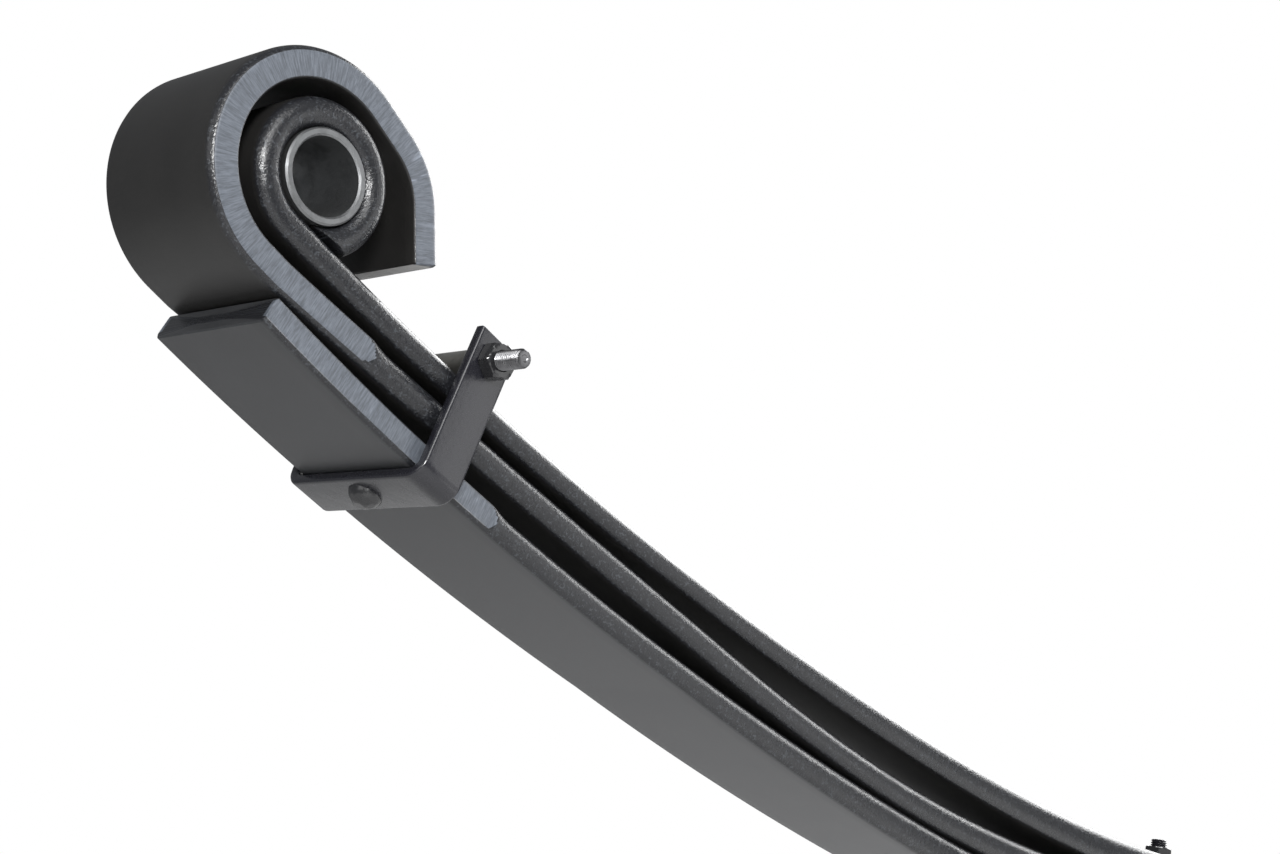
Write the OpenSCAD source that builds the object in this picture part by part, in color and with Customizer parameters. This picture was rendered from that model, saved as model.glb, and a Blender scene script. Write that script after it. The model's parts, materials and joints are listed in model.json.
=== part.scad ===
// Three-leaf parabolic spring with upturned eyes and a military wrap.
// Millimetres. X runs along the spring, Y across it and Z up. The origin is on the
// centre bolt's axis, at the underside of the third leaf, where the axle seats.

/* [Spring line] */
// Distance along X from the centre bolt to each eye's centre
half_span = 900; // [700:10:1100]
// Rise of the main leaf's top line from the seat to the eye
camber = 174.5; // [130:0.5:215]
// Half the length of the flat seat at the centre
seat_half = 50; // [40:1:80]
// How much fuller than a plain parabola each half of the line is
arch_fullness = 0.7; // [0:0.05:1]
// Share of each half at which the fuller line crosses the plain parabola again
arch_cross = 0.89; // [0.8:0.01:1]

/* [Leaves] */
// Width of all three leaves
leaf_w = 90; // [60:1:120]
// Thickness of the main leaf at the seat
main_seat_t = 22; // [18:0.5:27]
// Thickness of the main leaf where its taper ends
main_tip_t = 13; // [11:0.5:15]
// Thickness of the second leaf at the seat
second_seat_t = 21; // [16:0.5:24]
// Thickness of the second leaf where its taper ends
second_tip_t = 15; // [10.5:0.5:15]
// Thickness of the third leaf at the seat
third_seat_t = 24; // [18:0.5:27]
// Thickness of the third leaf where its taper ends
third_tip_t = 14.5; // [11:0.5:17]
// How far the third leaf's tips reach past the eyes' centres
third_overhang = 10.5; // [0:0.5:18]

/* [Gaps between leaves] */
// Thickness of the plates between the leaves at the seat
spacer_t = 6; // [5:0.5:10]
// Gap between the main and the second leaf just inside the eye
leaf_gap = 4.5; // [3:0.5:8]
// Gap between the main leaf and the second one under the eye
foot_gap = 7.5; // [6.5:0.5:12]
// How much wider the gap over the second leaf gets along each arm
mid_gap = 10.5; // [0:0.5:11]
// Gap between the second leaf and the third one's tips
tip_gap = 0.6; // [0.5:0.1:4]
// Length from the eye over which the leaves thin down from it
eye_blend = 140; // [100:5:200]
// Distance from the eye at which the gap over the second leaf starts to widen
mid_gap_start = 150; // [100:10:250]
// How soon the third leaf drops away from the second
third_sweep = 1.3; // [1.3:0.1:2]

/* [Eyes] */
// Outer radius of the bushes, and inner radius of the eyes
bush_r = 23; // [18:0.5:28]
// Radius of the bushes' bore
bush_bore_r = 19; // [14:0.5:21]
// Thickness of the main leaf around the eyes
eye_wall = 15; // [12:0.5:18]
// Gap between the eye's rolled end and the leaf below it
eye_tip_gap = 2.5; // [1:0.5:5]

/* [Wrap] */
// Thickness of the second leaf around the eyes
wrap_t = 16; // [12:0.5:18]
// Gap between the eye and the wrap around it, if their centres were one
wrap_gap = 6.25; // [5.5:0.25:10]
// How far the wrap's centre lies beyond the eye's centre
wrap_shift = 3.3; // [0:0.1:5]
// Angle of the wrap's round part
wrap_sweep = 188.5; // [180:0.5:195]
// Length of the straight run on top of the wrap
wrap_run = 20; // [10:1:30]
// Radius of the bend after the straight run
wrap_bend_r = 45; // [30:1:60]
// Angle of the bend after the straight run
wrap_bend = 43.5; // [30:0.5:55]
// Length of the straight leg at the wrap's end
wrap_leg = 26; // [15:1:35]

/* [Clips] */
// Distance along X from the eye's centre to the middle of the clip's strap
clip_setback = 111; // [90:1:160]
// Width of the clip's strap along the leaf
strap_w = 26; // [20:1:40]
// Thickness of the clip's strap
strap_t = 6; // [3:0.5:8]
// Angle by which the clip's ears lean toward the eye
clip_lean = 5; // [0:0.5:8]
// Gap between each side of the leaves and the clip
clip_side_gap = 2; // [1:0.5:5]
// Gap between the third leaf's underside and the strap
clip_seat_gap = 0.1; // [0.05:0.05:0.3]
// How far the clip's ears reach above the bolt's axis
ear_above = 12; // [12:0.5:20]
// Diameter of the clip bolt
clip_bolt_d = 10; // [8:1:12]
// Width across the flats of the clip bolt's head and nut
clip_hex_af = 17; // [15:1:20]
// Height of the clip bolt's head
clip_head_h = 6.4; // [5:0.1:8]
// Height of the clip nut
clip_nut_h = 8.4; // [6:0.1:11]
// How far the clip bolt stands out past its nut
clip_bolt_out = 15.5; // [3:0.5:20]
// Thickness of the distance tube's wall
tube_wall = 2.2; // [1.5:0.1:4]
// Radial gap in which the distance tube turns on its bolt
tube_turn_gap = 0.3; // [0.1:0.05:0.5]
// Gap between the main leaf and the distance tube
tube_gap = 3.5; // [1:0.5:6]
// Gap between each end of the distance tube and the clip
tube_end_gap = 0.5; // [0.2:0.1:1]
// Diameter of the clip rivet's shank
rivet_d = 10; // [8:0.5:12]
// Diameter of the clip rivet's domed head
rivet_head_d = 18; // [15:0.5:22]
// Height of the clip rivet's domed head
rivet_head_h = 7; // [4:0.5:8]
// Height of the clip rivet's flat closing head
rivet_close_h = 3; // [2:0.5:4]

/* [Centre bolt] */
// Diameter of the centre bolt
centre_bolt_d = 12; // [10:1:16]
// Diameter of the centre bolt's round head, which locates the axle
centre_head_d = 24; // [20:1:30]
// Height of the centre bolt's round head
centre_head_h = 12; // [8:1:16]
// Width across the flats of the centre nut
centre_hex_af = 19; // [18:1:24]
// Height of the centre nut
centre_nut_h = 10.8; // [8:0.2:14]
// How far the centre bolt stands out past its nut
centre_bolt_out = 6; // [2:0.5:15]
// Depth of the spot faces that the round head and the centre nut sit in
spot_depth = 0.5; // [0.5:0.5:2]
// Gap between the wall of a spot face and the head or nut in it
spot_gap = 1; // [0.5:0.5:2]

/* [Fits] */
// Radial gap between a bolt and the holes it passes through
bolt_hole_gap = 0.5; // [0.3:0.1:1]
// Radial gap between a bolt and its nut, in place of the thread
thread_gap = 0.05; // [0.02:0.01:0.1]
// Radial gap between the rivet and its holes
rivet_gap = 0.05; // [0.02:0.01:0.1]
// Gap under the rivet's closing head
rivet_seat_gap = 0.15; // [0.1:0.05:0.3]

/* [Hidden] */
$fn = 96;

arm = half_span - seat_half;
stack_h = main_seat_t + second_seat_t + third_seat_t + 2 * spacer_t;
nut_seat = stack_h - spot_depth;
line_steps = 36;
arc_steps = 36;
bolt_chamfer = 1;
slot_sink = 1;
through = 400;

// ---- the spring line ----

// Share of the arm covered at x: 0 over the seat, 1 at the eye's centre.
function share(x) = max(0, abs(x) - seat_half) / arm;
// Distance left to the eye at x, and 0 past it.
function run(x) = arm * max(0, 1 - share(x));
function rise(x) =
    let (s = share(x))
    camber * s * s * (1 + arch_fullness * (1 - s) * (arch_cross - s));
function bend_share(s) = 2 * arch_cross * s - 3 * (1 + arch_cross) * s * s + 4 * s * s * s;
function slope(x) =
    let (s = share(x))
    sign(x) * camber / arm * (2 * s + arch_fullness * bend_share(s));
function angle(x) = atan(slope(x));
function top_point(x) = [x, stack_h + rise(x)];
function normal(x) = [-sin(angle(x)), cos(angle(x))];
// The point a given depth below the main leaf's top line, square to it.
function layer(x, depth) = top_point(x) - depth * normal(x);

// ---- thicknesses and gaps, square to the line ----

// 1 at the eye, falling to 0 over eye_blend.
function near_eye(x) = pow(max(0, 1 - run(x) / eye_blend), 2);
// A parabolic leaf: thickness grows with the root of the distance from its load.
function parabolic(x, seat_t, tip_t, end_t) =
    max(tip_t, seat_t * sqrt(run(x) / arm)) + (end_t - tip_t) * near_eye(x);
function main_t(x) = parabolic(x, main_seat_t, main_tip_t, eye_wall);
function second_t(x) = parabolic(x, second_seat_t, second_tip_t, wrap_t);
function third_t(x) = parabolic(x, third_seat_t, third_tip_t, third_tip_t);
function bulge(x) =
    pow(sin(180 * max(0, run(x) - mid_gap_start) / (arm - mid_gap_start)), 2);
function gap(x) =
    leaf_gap + (foot_gap - leaf_gap) * near_eye(x) + (spacer_t - leaf_gap) * run(x) / arm
    + mid_gap * bulge(x);
function second_top(x) = main_t(x) + gap(x);
function second_low(x) = second_top(x) + second_t(x);
third_eye_depth = eye_wall + foot_gap + wrap_t + tip_gap;
third_seat_depth = main_seat_t + second_seat_t + 2 * spacer_t;
function third_top(x) =
    third_eye_depth
    + (third_seat_depth - third_eye_depth) * (1 - pow(1 - run(x) / arm, third_sweep));
function third_low(x) = third_top(x) + third_t(x);
// Place on the line above the third leaf's tip, third_overhang past the eye's centre.
third_reach = half_span + third_overhang;
third_guess = third_reach - third_eye_depth * sin(angle(half_span));
third_foot = third_reach - third_eye_depth * sin(angle(third_guess));

// Places along the spring: the flat seat is one stretch and each arm is line_steps.
function arm_x(i, x_end) = seat_half + (x_end - seat_half) * i / line_steps;
function stations(x_end) =
    concat([for (i = [line_steps:-1:0]) -arm_x(i, x_end)],
           [for (i = [0:line_steps]) arm_x(i, x_end)]);
function reversed(v) = [for (i = [len(v) - 1:-1:0]) v[i]];
function flipped(v) = [for (p = v) [-p[0], p[1]]];
function without_ends(v) = [for (i = [1:len(v) - 2]) v[i]];

// ---- the eyes: the bore's circle is tangent to the main leaf's top line ----

eye_guess = half_span + bush_r * sin(angle(half_span));
eye_foot = half_span + bush_r * sin(angle(eye_guess));
eye_angle = angle(eye_foot);
eye_centre = top_point(eye_foot) + bush_r * normal(eye_foot);
eye_outer_r = bush_r + eye_wall;

// ---- the wrap: an arc, a straight run, a bend and a leg, all tangent ----

wrap_r = eye_outer_r + wrap_gap + wrap_t / 2;
wrap_depth = eye_wall + foot_gap + wrap_t / 2;
wrap_lift = wrap_r - wrap_depth;
wrap_guess = half_span + wrap_shift + wrap_lift * sin(angle(half_span));
wrap_foot = half_span + wrap_shift + wrap_lift * sin(angle(wrap_guess));
wrap_start = angle(wrap_foot) - 90;
wrap_centre = top_point(wrap_foot) + wrap_lift * normal(wrap_foot);
wrap_turn = wrap_start + wrap_sweep;
function toward(a) = [cos(a), sin(a)];
bend_centre = wrap_centre + (wrap_r - wrap_bend_r) * toward(wrap_turn)
              + wrap_run * toward(wrap_turn + 90);
bend_end = wrap_turn + wrap_bend;
function arc(centre, r, from, sweep) =
    [for (i = [0:arc_steps]) centre + r * toward(from + sweep * i / arc_steps)];
// The wrap's side at a distance off its middle line: above 0 is its outer side.
function wrap_side(off) =
    concat(arc(wrap_centre, wrap_r + off, wrap_start, wrap_sweep),
           arc(bend_centre, wrap_bend_r + off, wrap_turn, wrap_bend),
           [bend_centre + (wrap_bend_r + off) * toward(bend_end)
            + wrap_leg * toward(bend_end + 90)]);

// ---- the clips stand square on the third leaf's underside ----

clip_x = half_span - clip_setback;
function underside(x) = layer(x, third_low(x));
clip_seat = underside(clip_x);
clip_step = underside(clip_x + 1) - underside(clip_x - 1);
clip_angle = atan(clip_step[1] / clip_step[0]);
clip_inner = leaf_w / 2 + clip_side_gap;
clip_outer = clip_inner + strap_t;
clip_bend_r = clip_side_gap;
clip_bolt_r = clip_bolt_d / 2;
tube_bore_r = clip_bolt_r + tube_turn_gap;
tube_r = tube_bore_r + tube_wall;
bolt_up = third_low(clip_x) + tube_gap + tube_r;
bolt_along = tan(clip_lean) * (bolt_up - clip_bend_r);
ear_up = bolt_up + ear_above;
rivet_up = third_t(clip_x) + rivet_seat_gap;

// ---- helpers ----

module across(w) rotate([90, 0, 0]) linear_extrude(height = w, center = true) children();

module on_right(side) mirror([side > 0 ? 0 : 1, 0, 0]) children();

// The frame of a clip: Z leaves the third leaf's underside into the leaf.
module at_clip(side)
    on_right(side)
        translate([clip_seat[0], 0, clip_seat[1]])
            rotate([0, -clip_angle, 0])
                children();

module along_y(r, from, to)
    translate([0, to, 0])
        rotate([90, 0, 0])
            cylinder(r = r, h = to - from);

module at_eye() translate([eye_centre[0], 0, eye_centre[1]]) children();

module hexagon(af, h) cylinder(d = af / cos(30), h = h, $fn = 6);

module centre_hole()
    translate([0, 0, -through / 2])
        cylinder(r = centre_bolt_d / 2 + bolt_hole_gap, h = through);

// The shallow round seat of a head or nut, square in the leaf it sits on.
module spot_face(r, low)
    translate([0, 0, low])
        cylinder(r = r + spot_gap, h = 2 * spot_depth);

module rivet_holes()
    for (side = [-1, 1])
        at_clip(side)
            translate([0, 0, -through / 8])
                cylinder(r = rivet_d / 2 + rivet_gap, h = through / 4);

// ---- the leaves ----

// Ring of the main leaf's end, in a frame turned to the line's slope at the eye.
// The slot parts the rolled end from the leaf below it, which fills its sunk part.
module eye_ring()
    translate(eye_centre)
        rotate(eye_angle)
            difference() {
                circle(r = eye_outer_r);
                translate([-2 * eye_outer_r, -bush_r - slot_sink])
                    square([2 * eye_outer_r, eye_tip_gap + slot_sink]);
            }

module main_band() {
    xs = stations(eye_foot);
    polygon(concat([for (x = xs) top_point(x)],
                   [for (x = reversed(xs)) layer(x, main_t(x))]));
}

// One closed line: over the top from one wrap's end to the other, and back below.
module second_outline() {
    xs = without_ends(stations(wrap_foot));
    inner = wrap_side(-wrap_t / 2);
    outer = wrap_side(wrap_t / 2);
    polygon(concat(flipped(reversed(inner)),
                   [for (x = xs) layer(x, second_top(x))],
                   inner,
                   reversed(outer),
                   [for (x = reversed(xs)) layer(x, second_low(x))],
                   flipped(outer)));
}

module third_outline() {
    xs = stations(third_foot);
    polygon(concat([for (x = xs) layer(x, third_top(x))],
                   [for (x = reversed(xs)) layer(x, third_low(x))]));
}

module main_leaf()
    color([0.16, 0.17, 0.18])
        difference() {
            union() {
                across(leaf_w) main_band();
                for (side = [-1, 1]) on_right(side) across(leaf_w) eye_ring();
            }
            for (side = [-1, 1]) on_right(side) at_eye() along_y(bush_r, -leaf_w, leaf_w);
            centre_hole();
            spot_face(centre_hex_af / 2 / cos(30), nut_seat);
        }

module second_leaf()
    color([0.20, 0.21, 0.22])
        difference() {
            across(leaf_w) second_outline();
            centre_hole();
        }

module third_leaf()
    color([0.26, 0.26, 0.27])
        difference() {
            across(leaf_w) third_outline();
            centre_hole();
            spot_face(centre_head_d / 2, -spot_depth);
            rivet_holes();
        }

// A flat plate that keeps two leaves apart at the seat; low is its underside.
module seat_spacer(low)
    color([0.12, 0.12, 0.12])
        difference() {
            translate([-seat_half, -leaf_w / 2, low])
                cube([2 * seat_half, leaf_w, spacer_t]);
            centre_hole();
        }

module eye_bush(side)
    color([0.66, 0.67, 0.68])
        on_right(side)
            at_eye()
                difference() {
                    along_y(bush_r, -leaf_w / 2, leaf_w / 2);
                    along_y(bush_bore_r, -leaf_w, leaf_w);
                }

// ---- the clips ----

module strap_corner()
    translate([clip_inner - clip_bend_r, clip_bend_r])
        intersection() {
            difference() {
                circle(r = clip_bend_r + strap_t);
                circle(r = clip_bend_r);
            }
            translate([0, -clip_bend_r - strap_t])
                square(clip_bend_r + strap_t);
        }

module strap_outline() {
    translate([-clip_inner + clip_bend_r, -strap_t])
        square([2 * (clip_inner - clip_bend_r), strap_t]);
    for (side = [0, 1]) mirror([side, 0]) strap_corner();
}

// An ear from the side: its edges lean by clip_lean from the end of the bend up.
module ear_outline() {
    lean = tan(clip_lean) * (ear_up - clip_bend_r);
    polygon([[-strap_w / 2, clip_bend_r],
             [strap_w / 2, clip_bend_r],
             [strap_w / 2 + lean, ear_up],
             [-strap_w / 2 + lean, ear_up]]);
}

module strap() {
    rotate([90, 0, 90])
        linear_extrude(height = strap_w, center = true)
            strap_outline();
    for (face = [clip_outer, -clip_inner])
        translate([0, face, 0])
            rotate([90, 0, 0])
                linear_extrude(height = strap_t)
                    ear_outline();
}

module clip(side)
    color([0.13, 0.13, 0.15])
        at_clip(side)
            difference() {
                translate([0, 0, -clip_seat_gap]) strap();
                translate([bolt_along, 0, bolt_up])
                    along_y(clip_bolt_r + bolt_hole_gap, -leaf_w, leaf_w);
                translate([0, 0, -through / 8])
                    cylinder(r = rivet_d / 2 + rivet_gap, h = through / 4);
            }

// A round head: the cap of a ball, rivet_head_h high on a rivet_head_d base.
module domed_head() {
    ball_r = (rivet_head_d * rivet_head_d / 4 + rivet_head_h * rivet_head_h)
             / (2 * rivet_head_h);
    intersection() {
        translate([0, 0, ball_r - rivet_head_h]) sphere(r = ball_r);
        translate([0, 0, -rivet_head_h]) cylinder(r = rivet_head_d, h = rivet_head_h);
    }
}

module clip_rivet(side) {
    low = -clip_seat_gap - strap_t;
    color([0.18, 0.17, 0.17])
        at_clip(side) {
            translate([0, 0, low]) domed_head();
            translate([0, 0, low]) cylinder(d = rivet_d, h = rivet_up - low);
            translate([0, 0, rivet_up])
                cylinder(d1 = rivet_head_d - 2, d2 = rivet_d, h = rivet_close_h);
        }
}

// The bolt's thread and nut face the near side, -Y.
module clip_bolt(side) {
    nut_face = -clip_outer - clip_nut_h;
    tip = nut_face - clip_bolt_out;
    color([0.62, 0.63, 0.64])
        at_clip(side)
            translate([bolt_along, 0, bolt_up]) {
                along_y(clip_bolt_r, tip + bolt_chamfer, clip_outer);
                translate([0, tip + bolt_chamfer, 0])
                    rotate([90, 0, 0])
                        cylinder(r1 = clip_bolt_r, r2 = clip_bolt_r - bolt_chamfer,
                                 h = bolt_chamfer);
                translate([0, clip_outer + clip_head_h, 0])
                    rotate([90, 0, 0])
                        hexagon(clip_hex_af, clip_head_h);
            }
}

module clip_nut(side)
    color([0.10, 0.10, 0.11])
        at_clip(side)
            translate([bolt_along, -clip_outer, bolt_up])
                rotate([90, 0, 0])
                    difference() {
                        hexagon(clip_hex_af, clip_nut_h);
                        translate([0, 0, -1])
                            cylinder(r = clip_bolt_r + thread_gap, h = clip_nut_h + 2);
                    }

module distance_tube(side) {
    half = clip_inner - tube_end_gap;
    color([0.55, 0.55, 0.53])
        at_clip(side)
            translate([bolt_along, 0, bolt_up])
                difference() {
                    along_y(tube_r, -half, half);
                    along_y(tube_bore_r, -leaf_w, leaf_w);
                }
}

// ---- the centre bolt ----

module centre_bolt() {
    top = nut_seat + centre_nut_h + centre_bolt_out;
    color([0.25, 0.25, 0.26]) {
        translate([0, 0, -centre_head_h])
            cylinder(d = centre_head_d, h = centre_head_h + spot_depth);
        cylinder(d = centre_bolt_d, h = top - bolt_chamfer);
        translate([0, 0, top - bolt_chamfer])
            cylinder(d1 = centre_bolt_d, d2 = centre_bolt_d - 2 * bolt_chamfer,
                     h = bolt_chamfer);
    }
}

module centre_nut()
    color([0.10, 0.10, 0.11])
        translate([0, 0, nut_seat])
            difference() {
                hexagon(centre_hex_af, centre_nut_h);
                translate([0, 0, -1])
                    cylinder(r = centre_bolt_d / 2 + thread_gap, h = centre_nut_h + 2);
            }

main_leaf();
second_leaf();
third_leaf();
seat_spacer(third_seat_t + spacer_t + second_seat_t);  // upper_spacer
seat_spacer(third_seat_t);  // lower_spacer
eye_bush(-1);  // left_eye_bush
eye_bush(1);  // right_eye_bush
clip(-1);  // left_clip
clip(1);  // right_clip
clip_rivet(-1);  // left_clip_rivet
clip_rivet(1);  // right_clip_rivet
clip_bolt(-1);  // left_clip_bolt
clip_bolt(1);  // right_clip_bolt
clip_nut(-1);  // left_clip_nut
clip_nut(1);  // right_clip_nut
distance_tube(-1);  // left_distance_tube
distance_tube(1);  // right_distance_tube
centre_bolt();
centre_nut();
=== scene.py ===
"""Three-leaf parabolic spring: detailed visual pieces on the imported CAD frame."""
import json
import math

import bmesh
import bpy
import numpy as np
from bpy.props import FloatProperty, FloatVectorProperty, PointerProperty
from mathutils import Matrix, Vector


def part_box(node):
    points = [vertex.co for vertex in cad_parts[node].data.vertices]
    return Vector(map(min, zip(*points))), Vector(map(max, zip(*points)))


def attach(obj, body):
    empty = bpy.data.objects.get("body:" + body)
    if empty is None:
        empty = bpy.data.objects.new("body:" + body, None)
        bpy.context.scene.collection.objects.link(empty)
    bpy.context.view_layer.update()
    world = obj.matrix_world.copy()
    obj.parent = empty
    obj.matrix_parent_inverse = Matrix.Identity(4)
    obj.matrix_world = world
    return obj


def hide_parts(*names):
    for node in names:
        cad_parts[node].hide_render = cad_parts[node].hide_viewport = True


bl_info = {
    "name": "Leaf spring",
    "version": (1, 0, 0),
    "blender": (4, 5, 0),
    "location": "3D View > Sidebar > Leaf spring",
    "description": "Builds a three-leaf parabolic spring with wrapped eyes",
    "category": "Object",
}

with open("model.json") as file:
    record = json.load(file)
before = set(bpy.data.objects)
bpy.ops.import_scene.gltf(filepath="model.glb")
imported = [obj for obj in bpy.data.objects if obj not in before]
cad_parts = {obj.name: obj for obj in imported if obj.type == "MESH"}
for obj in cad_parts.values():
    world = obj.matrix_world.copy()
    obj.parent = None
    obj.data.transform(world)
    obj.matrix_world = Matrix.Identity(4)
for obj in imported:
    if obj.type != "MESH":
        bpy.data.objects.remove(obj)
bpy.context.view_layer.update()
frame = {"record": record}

MOUNTS = {m["name"]: m for m in frame["record"]["mounts"]}
LEAF_LOW, LEAF_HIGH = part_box("main_leaf")
LEAF_W = float(LEAF_HIGH[1] - LEAF_LOW[1])
STACK_TOP = float(MOUNTS["clamp_plate_seat"]["pos_m"][2])
EYE = np.array(MOUNTS["right_eye_bore"]["pos_m"])[[0, 2]]
BORE_R = MOUNTS["right_eye_bore"]["dims"]["r_mm"] / 1000
BUSH_LOW, BUSH_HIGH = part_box("right_eye_bush")
BUSH_R = float(BUSH_HIGH[2] - BUSH_LOW[2]) / 2
PACK = "spring_pack"
SIDES = (("left", -1), ("right", 1))
COARSE_STEP = 0.004     # row spacing along the arms
FINE_STEP = 0.0008      # row spacing where the sides change
CRISP_RAMP = 0.012      # length over which a milled side's upper edge turns crisp
PATTERN_DEPTH = 0.0075  # depth coordinate of a leaf's face in its paint's pattern
CORNER_SHARE = 0.965    # radius of a hexagon's turned-off end, as a share of the flats
CORNER_SLOPE = math.tan(math.radians(60))
STEPS = 96              # points round a turned piece
CAP_SHARES = (0.9, 0.5, 0.0)  # sizes of the rings that close a leaf's end


def length(name, description, default, low=0.0):
    """A size in metres."""
    return FloatProperty(name=name, description=description, default=default, min=low,
                         subtype="DISTANCE", unit="LENGTH", precision=4)


def degrees(name, description, default):
    """An angle, given in degrees and stored in radians."""
    return FloatProperty(name=name, description=description,
                         default=math.radians(default), subtype="ANGLE", unit="ROTATION")


def ratio(name, description, default):
    """A plain number."""
    return FloatProperty(name=name, description=description, default=default)


def colour(name, description, default):
    """A linear RGB colour."""
    return FloatVectorProperty(name=name, description=description, default=default,
                               size=3, min=0, max=1, subtype="COLOR")


# ---- sizes and colours ----

class LineSizes(bpy.types.PropertyGroup):
    """The curve that all three leaves follow."""
    half_span: length("Half span", "Centre bolt to eye centre, along X", 0.9)
    camber: length("Camber", "Rise of the top line from the seat to the eye", 0.1745)
    seat_half: length("Half seat", "Half the length of the flat seat", 0.05)
    fullness: ratio("Fullness", "How much fuller than a parabola each half is", 0.7)
    cross: ratio("Cross", "Share of each half where the line crosses the parabola", 0.89)


class LeafSizes(bpy.types.PropertyGroup):
    """Thicknesses of the leaves and gaps between them."""
    main_seat: length("Main seat", "Main leaf's thickness at the seat", 0.022)
    main_tip: length("Main tip", "Main leaf's thickness where its taper ends", 0.013)
    second_seat: length("Second seat", "Second leaf's thickness at the seat", 0.021)
    second_tip: length("Second tip", "Second leaf's thickness after its taper", 0.015)
    third_seat: length("Third seat", "Third leaf's thickness at the seat", 0.024)
    third_tip: length("Third tip", "Third leaf's thickness after its taper", 0.0145)
    overhang: length("Overhang", "Third leaf's reach past the eyes' centres", 0.0105)
    spacer: length("Spacer", "Thickness of the plates at the seat", 0.006)
    leaf_gap: length("Leaf gap", "Main to second leaf just inside the eye", 0.0045)
    foot_gap: length("Foot gap", "Main to second leaf under the eye", 0.0075)
    mid_gap: length("Mid gap", "Extra gap along each arm", 0.0105)
    tip_gap: length("Tip gap", "Second leaf to the third one's tips", 0.0006)
    eye_blend: length("Eye blend", "Length over which the leaves thin down", 0.14)
    mid_start: length("Mid start", "Distance from the eye where the gap widens", 0.15)
    third_sweep: ratio("Third sweep", "How soon the third leaf drops away", 1.3)
    eye_wall: length("Eye wall", "Main leaf's thickness around the eyes", 0.015)
    eye_slot: length("Eye slot", "Gap between the rolled end and the leaf", 0.0025)


class WrapSizes(bpy.types.PropertyGroup):
    """The second leaf's wrap around each eye."""
    thickness: length("Thickness", "Thickness around the eyes", 0.016)
    gap: length("Gap", "Gap around the eye, if the centres were one", 0.00625)
    shift: length("Shift", "Wrap's centre beyond the eye's centre", 0.0033)
    sweep: degrees("Sweep", "Angle of the round part", 188.5)
    run: length("Run", "Straight run on top", 0.020)
    bend_r: length("Bend radius", "Radius of the bend after the run", 0.045)
    bend: degrees("Bend", "Angle of the bend after the run", 43.5)
    leg: length("Leg", "Straight leg at the end", 0.026)


class EdgeSizes(bpy.types.PropertyGroup):
    """How the leaves' sides are rounded, and milled near the eyes."""
    round_depth: length("Round depth", "Depth of the rolled side's curve", 0.0065)
    crisp_depth: length("Crisp depth", "Curve left above a milled side", 0.0022)
    milled_cut: length("Milled cut", "How far the milled sides are set in", 0.0012)
    cutter_r: length("Cutter radius", "Radius of the cutter's run-out", 0.009)
    tongue_r: length("Tongue radius", "Radius of the milled strip's round end", 0.0085)
    second_runout: length("Second run-out", "Eye to the second leaf's run-out", 0.043)
    third_runout: length("Third run-out", "Eye to the third leaf's run-out", 0.136)
    third_depth: length("Third depth", "Depth of the curve under the third leaf", 0.0042)
    end_bevel: length("End bevel", "Bevel around the leaves' cut ends", 0.0007)


class ClipSizes(bpy.types.PropertyGroup):
    """The rebound clips with their bolts, tubes and rivets."""
    setback: length("Setback", "Eye centre to clip, along X", 0.111)
    width: length("Strap width", "Strap's width along the leaf", 0.026)
    thickness: length("Strap thickness", "Strap's thickness", 0.006)
    lean: degrees("Lean", "Lean of the ears toward the eye", 5)
    side_gap: length("Side gap", "Gap between leaf and clip on each side", 0.002)
    seat_gap: length("Seat gap", "Gap under the third leaf", 0.0001)
    bend_r: length("Bend radius", "Inner radius of the strap's bends", 0.0045)
    ear_above: length("Ear above", "Ears above the bolt's axis", 0.012)
    bolt_d: length("Bolt", "Clip bolt's diameter", 0.010)
    hex_af: length("Hexagon", "Across the flats of the head and nut", 0.017)
    head_h: length("Head", "Height of the bolt's head", 0.0064)
    nut_h: length("Nut", "Height of the nut", 0.0084)
    bolt_out: length("Bolt end", "Bolt past its nut", 0.0155)
    pitch: length("Pitch", "Thread pitch of the clip bolt", 0.0015)
    tube_wall: length("Tube wall", "Wall of the distance tube", 0.0022)
    tube_turn_gap: length("Tube gap", "Radial gap between tube and bolt", 0.0003)
    tube_gap: length("Tube above leaf", "Gap between leaf and tube", 0.0035)
    tube_end_gap: length("Tube end gap", "Gap between tube and ear", 0.0005)
    rivet_d: length("Rivet", "Diameter of the rivet's shank", 0.010)
    rivet_head_d: length("Rivet head", "Diameter of the rivet's dome", 0.018)
    rivet_head_h: length("Rivet dome", "Height of the rivet's dome", 0.007)
    rivet_close_h: length("Rivet close", "Height of the closing head", 0.003)


class CentreSizes(bpy.types.PropertyGroup):
    """The centre bolt and its nut."""
    bolt_d: length("Bolt", "Centre bolt's diameter", 0.012)
    head_d: length("Head", "Diameter of the round head", 0.024)
    head_h: length("Head height", "Height of the round head", 0.012)
    hex_af: length("Hexagon", "Across the flats of the nut", 0.019)
    nut_h: length("Nut", "Height of the nut", 0.0108)
    bolt_out: length("Bolt end", "Bolt past its nut", 0.006)
    spot_depth: length("Spot face", "Depth that the head and nut sit in", 0.0005)
    pitch: length("Pitch", "Thread pitch", 0.00175)


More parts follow.
